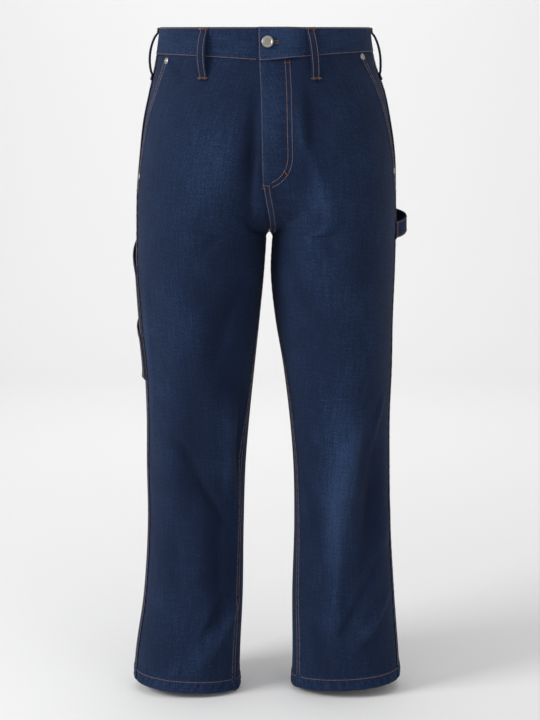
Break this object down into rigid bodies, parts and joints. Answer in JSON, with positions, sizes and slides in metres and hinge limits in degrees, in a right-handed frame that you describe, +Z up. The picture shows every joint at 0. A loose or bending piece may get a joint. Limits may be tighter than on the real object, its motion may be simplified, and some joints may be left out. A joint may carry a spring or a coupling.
{
  "type": "baggy jeans",
  "caption": "Baggy carpenter jeans in raw dark denim, filled out as worn, with a hammer loop, a tool pocket, belt loops and open hems.",
  "frame": {"origin": "centre of the waist opening, half way down the waistband", "axes": "+Z up along the wearer's body, -Y towards the front, +X towards the wearer's left"},
  "size_m": [0.4046, 0.2791, 0.9808],
  "materials": {
    "raw_indigo_denim": "matt twill",
    "nickel_plated_brass": "satin"
  },
  "bodies": {
    "root": {"front_right": "raw_indigo_denim", "front_left": "raw_indigo_denim", "facing_right": "raw_indigo_denim", "facing_left": "raw_indigo_denim", "back_right": "raw_indigo_denim", "back_left": "raw_indigo_denim", "yoke_right": "raw_indigo_denim", "yoke_left": "raw_indigo_denim", "waistband": "raw_indigo_denim", "loop_front_right": "raw_indigo_denim", "loop_front_left": "raw_indigo_denim", "loop_side_right": "raw_indigo_denim", "loop_side_left": "raw_indigo_denim", "loop_back": "raw_indigo_denim", "back_pocket_right": "raw_indigo_denim", "back_pocket_left": "raw_indigo_denim", "tool_pocket": "raw_indigo_denim", "tool_pocket_outer": "raw_indigo_denim", "hammer_loop": "raw_indigo_denim", "waist_button": "nickel_plated_brass", "rivet_1": "nickel_plated_brass", "rivet_2": "nickel_plated_brass", "rivet_3": "nickel_plated_brass", "rivet_4": "nickel_plated_brass"}
  },
  "joints": []
}
